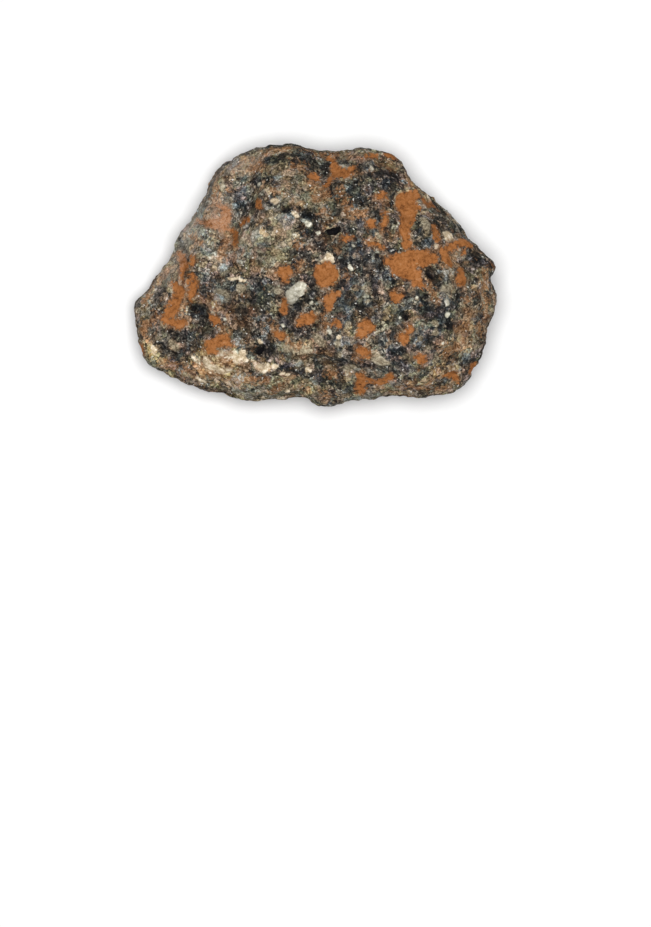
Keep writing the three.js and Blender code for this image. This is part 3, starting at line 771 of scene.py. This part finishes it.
def grainsOf(tree, group, place, density):
    node = put(tree, "Group")
    node.node_tree = group
    tree.links.new(place, node.inputs["Place"])
    node.inputs["Grains per mm"].default_value = density
    return node.outputs


breccia = {
    "fineGrains": 8.5,       # per mm
    "middleGrains": 4.4,
    "coarseGrains": 1.6,
    "clasts": .95,
    "warp": .35,             # mm, how far the grains are bent
    "fineShare": .44,        # how much each size of grain says in a spot's tone
    "middleShare": .46,
    "coarseShare": .30,
    "driftShare": .7,
    "speckleShare": .5,
    "streakShare": .4,
    "streaks": (7.5, 2.4, 4.0),    # per mm along each axis
    "charcoalTone": .92,
    "tint": .35,             # how strongly single grains are tinted
    "clastTint": .9,
    "gapDepth": .28,
    "seamDepth": .6,
    # strength of the painted shade in the low places
    "hollowShadeDepth": .35,
    "fleckShare": .75,
    "crystalShare": .8,
    "dust": .2,
    "roughness": .82,
    "shine": .08,
    "bump": .65,
    "bumpHeight": .12,       # mm
}

# soft noises in the stone: per mm, octaves, harshness
clouds = {
    "warp": (3.0, 2.0, .5),
    "drift": (.38, 3.0, .5),
    "stain": (.7, 4.0, .6),
    "mottle": (1.6, 4.0, .65),
    "crumble": (3.2, 4.0, .65),
    "speckle": (9.0, 2.0, .5),
    "streak": (1.0, 2.0, .5),
}

# how each kind of ground is laid on: strength, softness of its edge in mm, how far it follows the grains
zones = {
    "tan": (.8, .3, .8),
    "pale": (.95, .45, .9),
    "slate": (.9, .3, .7),
    "blush": (.85, .4, .6),
    "sand": (.9, .35, .9),
    "brown": (.9, .3, .7),
    "charcoal": (.92, .24, .55),
    "rust": (.85, .25, .7),
}

# the same for the crisp patches, with how ragged they are
patches = {
    "beige": (.8, .12, .5),
    "cream": (1.0, .09, .5),
    "white": (1.0, .08, .25),
    "rim": (.85, .05, .2),
}

# colours from the darkest spot of a kind to its brightest: place on the scale, red, green, blue
rockColours = {
    "grey": [
        (.1, 34, 31, 28), (.3, 75, 68, 59), (.48, 114, 103, 89), (.64, 144, 132, 115),
        (.8, 176, 164, 147), (.96, 216, 206, 190),
    ],
    "dark": [
        (.1, 20, 20, 21), (.32, 44, 43, 44), (.5, 72, 70, 68), (.68, 104, 101, 97),
        (.84, 142, 137, 129), (.97, 190, 185, 176),
    ],
    "charcoal": [
        (.1, 10, 11, 13), (.34, 23, 25, 28), (.54, 40, 42, 45), (.7, 66, 68, 70),
        (.85, 106, 106, 104), (.98, 180, 178, 172),
    ],
    "slate": [
        (.1, 29, 32, 36), (.32, 60, 65, 70), (.5, 90, 94, 97), (.68, 124, 126, 125),
        (.84, 158, 158, 153), (.97, 208, 205, 198),
    ],
    "tan": [
        (.1, 62, 56, 46), (.3, 104, 95, 78), (.5, 140, 128, 106), (.66, 166, 153, 130),
        (.82, 190, 178, 154), (.96, 220, 211, 191),
    ],
    "pale": [
        (.1, 88, 83, 76), (.3, 130, 123, 112), (.5, 160, 152, 138), (.66, 180, 172, 158),
        (.82, 200, 192, 178), (.96, 226, 220, 207),
    ],
    "blush": [
        (.1, 104, 78, 58), (.3, 142, 112, 87), (.5, 172, 141, 114), (.7, 190, 161, 134),
        (.95, 216, 194, 170),
    ],
    "sand": [
        (.1, 108, 84, 60), (.3, 162, 133, 100), (.5, 200, 171, 136), (.66, 222, 197, 165),
        (.82, 238, 219, 192), (.96, 248, 238, 220),
    ],
    "brown": [(.1, 25, 20, 17), (.36, 57, 46, 38), (.64, 93, 76, 61), (.95, 146, 124, 102)],
    "beige": [(.1, 92, 81, 64), (.5, 144, 132, 109), (.9, 188, 177, 152)],
    "cream": [(.0, 140, 120, 94), (.4, 188, 169, 139), (.75, 218, 202, 175), (1.0, 238, 226, 206)],
    "white": [(.0, 138, 133, 120), (.4, 182, 177, 158), (.75, 207, 202, 184), (1.0, 233, 229, 216)],
    "rust": [(.1, 76, 50, 32), (.36, 122, 86, 56), (.62, 150, 110, 76), (.9, 188, 152, 118)],
    "clay": [
        (.05, 74, 42, 20), (.28, 122, 75, 38), (.5, 146, 94, 52), (.74, 155, 104, 63),
        (.97, 182, 137, 98),
    ],
    "grainTint": [
        (.0, 255, 240, 225), (.3, 240, 248, 255), (.5, 255, 255, 255), (.7, 248, 255, 232),
        (1.0, 255, 236, 228),
    ],
    "clastTint": [
        (.0, 255, 236, 214), (.2, 230, 244, 255), (.36, 248, 254, 234), (.5, 255, 251, 246),
        (.64, 255, 236, 226), (.78, 246, 240, 246), (.9, 224, 240, 252), (1.0, 252, 232, 206),
    ],
}

spotColours = {
    "fleck": (66, 40, 24),
    "rim": (196, 178, 142),
    "gap": (20, 18, 16),
    "seam": (24, 22, 20),
    # painted shade for the low places
    "hollowShade": (24, 20, 18),
    # near black, painted shade in the pits
    "shadedPit": (11, 10, 13),
    "crystal": (205, 202, 194),
    "dust": (178, 168, 154),
}


def cloud(tree, place, name, output="Fac"):
    density, octaves, harshness = clouds[name]
    pattern = {"Vector": place, "Scale": density, "Detail": octaves, "Roughness": harshness}
    return put(tree, "TexNoise", pattern).outputs[output]


def makeBreccia():
    material = bpy.data.materials.new("breccia")
    material.use_nodes = True
    tree = material.node_tree
    tree.nodes.clear()
    grains = makeGrainGroup()

    # places in mm, a little warped so that no grain has a straight edge
    place = put(tree, "TexCoord").outputs["Object"]
    place = put(tree, "Mapping", {"Vector": place, "Scale": (1 / mm, 1 / mm, 1 / mm)}).outputs[0]
    warp = cloud(tree, place, "warp", "Color")
    warp = put(tree, "VectorMath", {0: warp, 1: (.5, .5, .5)}, operation="SUBTRACT").outputs[0]
    amount = (breccia["warp"],) * 3
    place = put(tree, "VectorMath", {0: warp, 1: amount, 2: place}, operation="MULTIPLY_ADD").outputs[0]

    fine, middle, coarse, clasts = (
        grainsOf(tree, grains, place, breccia[size])
        for size in ("fineGrains", "middleGrains", "coarseGrains", "clasts"))
    drift, stain, mottle, crumble, speckle = (
        cloud(tree, place, name) for name in ("drift", "stain", "mottle", "crumble", "speckle"))
    drawn = put(tree, "Mapping", {"Vector": place, "Scale": breccia["streaks"]}).outputs[0]
    streak = cloud(tree, drawn, "streak")

    def times(value, share):
        return calc(tree, "MULTIPLY", value, share)

    def without(value):
        return calc(tree, "SUBTRACT", 1.0, value)

    def varied(value, *others):
        # adds a share of what each of the others has above or below its middle
        for other, share in others:
            value = calc(tree, "ADD", value, times(calc(tree, "SUBTRACT", other, .5), share))
        return value

    def zone(name):
        # a soft zone whose edge runs from grain to grain
        strength, softness, grainy = zones[name]
        value = varied(surfaceField(tree, name), (middle["Other"], grainy), (crumble, grainy))
        return times(stepped(tree, value, -softness, softness), strength)

    def patch(name):
        # a crisp patch with a ragged edge
        strength, softness, ragged = patches[name]
        value = varied(surfaceField(tree, name), (crumble, ragged))
        return times(stepped(tree, value, -softness, softness), strength)

    def rock(name, value):
        return palette(tree, value, rockColours[name])

    def spotted(mask, under, name):
        return blended(tree, mask, under, paint(*spotColours[name]))

    # one value picks each spot's tone: partly its own grain's, partly its neighbourhood's
    tone = varied(
        .5, (fine["Value"], breccia["fineShare"]), (middle["Value"], breccia["middleShare"]),
        (coarse["Value"], breccia["coarseShare"]), (drift, breccia["driftShare"]),
        (speckle, breccia["speckleShare"]), (streak, breccia["streakShare"]),
    )

    # the ground, from the plain grey up
    brown = rock("brown", tone)
    ground = blended(tree, times(stepped(tree, stain, .5, .66), .7), rock("grey", tone), brown)
    ground = blended(tree, times(stepped(tree, coarse["Other"], .5, .62), .85), ground, rock("dark", tone))
    for name in "tan", "pale", "slate", "blush", "sand", "brown":
        ground = blended(tree, zone(name), ground, rock(name, tone))
    charcoalMask = zone("charcoal")
    charcoal = rock("charcoal", times(tone, breccia["charcoalTone"]))
    ground = blended(tree, charcoalMask, ground, charcoal)
    ground = blended(tree, breccia["tint"], ground, rock("grainTint", middle["Other"]), "MULTIPLY")
    for hue in coarse["Value"], clasts["Value"]:
        ground = blended(tree, breccia["clastTint"], ground, rock("clastTint", hue), "MULTIPLY")

    # the pale clasts
    clastTone = varied(.55, (crumble, 1.8), (middle["Value"], .5), (mottle, .8))
    beigeMask = patch("beige")
    creamMask = patch("cream")
    whiteMask = patch("white")
    colour = blended(tree, beigeMask, ground, rock("beige", tone))
    colour = blended(tree, creamMask, colour, rock("cream", clastTone))
    colour = blended(tree, whiteMask, colour, rock("white", clastTone))

    # rust stains the ground, the more so round the clay
    clayField = surfaceField(tree, "clay")
    rust = rock("rust", tone)
    colour = blended(tree, zone("rust"), colour, rust)
    smear = times(stepped(tree, varied(clayField, (stain, 2.0)), -.25, .15), .5)
    colour = blended(tree, times(smear, without(charcoalMask)), colour, rust)
    seep = stepped(tree, varied(stain, (crumble, .5)), .62, .72)
    colour = blended(tree, times(seep, .5), colour, rust)
    halo = stepped(tree, varied(clayField, (crumble, .7)), -.42, .1)
    colour = blended(tree, times(halo, .45), colour, brown)

    # the clay is mottled, flecked, and a little darker along its edge, painted shade at the rim of its
    # hollow
    clayTone = varied(.45, (mottle, 1.1), (crumble, .6), (speckle, .4), (fine["Value"], .15))
    clayTone = calc(tree, "SUBTRACT", clayTone, times(stepped(tree, clayField, .3, -.1), .08))
    fleck = times(stepped(tree, crumble, .37, .3), stepped(tree, mottle, .56, .44))
    clay = spotted(times(fleck, breccia["fleckShare"]), rock("clay", clayTone), "fleck")
    clayEdge = varied(clayField, (mottle, .5), (crumble, .8), (middle["Other"], .08))
    clayMask = stepped(tree, clayEdge, -.15, .13)
    colour = blended(tree, clayMask, colour, clay)
    colour = spotted(times(patch("rim"), stepped(tree, mottle, .4, .56)), colour, "rim")

    # gaps between the grains are dark, and the low places of the relief get painted shade
    covered = clayMask
    for mask in beigeMask, creamMask, whiteMask:
        covered = calc(tree, "MAXIMUM", covered, mask)
    bare = without(covered)
    gap = times(stepped(tree, middle["Gap"], .1, .0), bare)
    colour = spotted(times(gap, breccia["gapDepth"]), colour, "gap")
    seam = times(stepped(tree, coarse["Gap"], .1, .02), stepped(tree, mottle, .45, .6))
    colour = spotted(times(times(seam, bare), breccia["seamDepth"]), colour, "seam")
    # painted shade in the low places of the relief, weaker on the clay
    shadeStrength = calc(tree, "SUBTRACT", breccia["hollowShadeDepth"], times(clayMask, .25))
    hollowShade = stepped(tree, surfaceField(tree, "height"), .02, -.22)
    colour = spotted(times(hollowShade, shadeStrength), colour, "hollowShade")
    # painted shade: the pits are painted near black
    shadedPit = stepped(tree, varied(surfaceField(tree, "shadedPit"), (crumble, .5)), -.2, .14)
    colour = spotted(shadedPit, colour, "shadedPit")

    # small bright crystals
    crystal = times(stepped(tree, fine["Value"], .992, .997), bare)
    colour = spotted(times(crystal, breccia["crystalShare"]), colour, "crystal")

    # the veil of dust lies over everything, in specks
    veil = varied(surfaceField(tree, "dust"), (mottle, 2.0), (crumble, 2.4))
    veil = times(stepped(tree, veil, -.6, .8), breccia["dust"])
    specks = calc(tree, "ADD", .45, stepped(tree, speckle, .42, .56))
    colour = spotted(times(veil, specks), colour, "dust")

    height = calc(tree, "MULTIPLY_ADD", fine["Gap"], .7, times(middle["Gap"], 1.1))
    height = calc(tree, "MULTIPLY_ADD", speckle, .3, height)
    height = times(height, without(times(clayMask, .75)))
    height = calc(tree, "MULTIPLY_ADD", crumble, .3, height)
    relief = {"Height": height, "Strength": breccia["bump"], "Distance": breccia["bumpHeight"] * mm}
    bump = put(tree, "Bump", relief).outputs[0]

    shader = put(tree, "BsdfPrincipled", {
        "Base Color": colour, "Roughness": breccia["roughness"],
        "Specular IOR Level": breccia["shine"], "Normal": bump,
    })
    out = put(tree, "OutputMaterial", {"Surface": shader.outputs[0]})
    out.is_active_output = True
    return material


# Stage: a plain white floor, a broad soft light above and a camera that looks straight down

stage = {
    "floorHalf": .6,
    "floorColour": (.71, .71, .71, 1),
    "floorRoughness": .9,
    "floorShine": .1,
    "lightPlace": (.004, -.004, .5),
    "lightSize": .26,
    "lightPower": 3.6,
    "sky": .1,
    "lens": 300.0,
    "filmWidth": 36.0,
    "viewTall": .0834,                  # what the picture's height covers at the stone's outline
    "viewCentre": (.00103, -.01715),
    "outlineLevel": .005,
    "clip": (.01, 10),
}


def makeFloor():
    bm = bmesh.new()
    bmesh.ops.create_grid(bm, x_segments=1, y_segments=1, size=stage["floorHalf"])
    mesh = bpy.data.meshes.new("floor")
    bm.to_mesh(mesh)
    bm.free()
    floor = bpy.data.objects.new("floor", mesh)
    bpy.context.scene.collection.objects.link(floor)
    material = bpy.data.materials.new("floorWhite")
    material.use_nodes = True
    shader = material.node_tree.nodes["Principled BSDF"]
    shader.inputs["Base Color"].default_value = stage["floorColour"]
    shader.inputs["Roughness"].default_value = stage["floorRoughness"]
    shader.inputs["Specular IOR Level"].default_value = stage["floorShine"]
    mesh.materials.append(material)


def makeLight():
    lamp = bpy.data.lights.new("overhead", "AREA")
    lamp.shape = "DISK"
    lamp.size = stage["lightSize"]
    lamp.energy = stage["lightPower"]
    light = bpy.data.objects.new("overhead", lamp)
    light.location = stage["lightPlace"]
    light.rotation_euler = (Vector((0, 0, 0)) - light.location).to_track_quat("-Z", "Y").to_euler()
    bpy.context.scene.collection.objects.link(light)
    world = bpy.data.worlds.new("sky")
    world.use_nodes = True
    background = world.node_tree.nodes["Background"]
    background.inputs["Color"].default_value = (1, 1, 1, 1)
    background.inputs["Strength"].default_value = stage["sky"]
    bpy.context.scene.world = world


def makeCamera():
    lens = bpy.data.cameras.new("camera")
    lens.lens = stage["lens"]
    lens.sensor_width = stage["filmWidth"]
    lens.clip_start, lens.clip_end = stage["clip"]
    camera = bpy.data.objects.new("camera", lens)
    distance = stage["viewTall"] * stage["lens"] / stage["filmWidth"]
    camera.location = (*stage["viewCentre"], stage["outlineLevel"] + distance)
    bpy.context.scene.collection.objects.link(camera)
    bpy.context.scene.camera = camera


makeCamera()
makeLight()
makeFloor()
bpy.context.scene.view_settings.view_transform = "Standard"
print("stage: camera, light and floor set")

meteorite = makeStone()
meteorite.name = "stoneSkin"
meteorite.data.materials.clear()
meteorite.data.materials.append(makeBreccia())
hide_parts("stone")
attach(meteorite, "root")
print("stone: coloured")
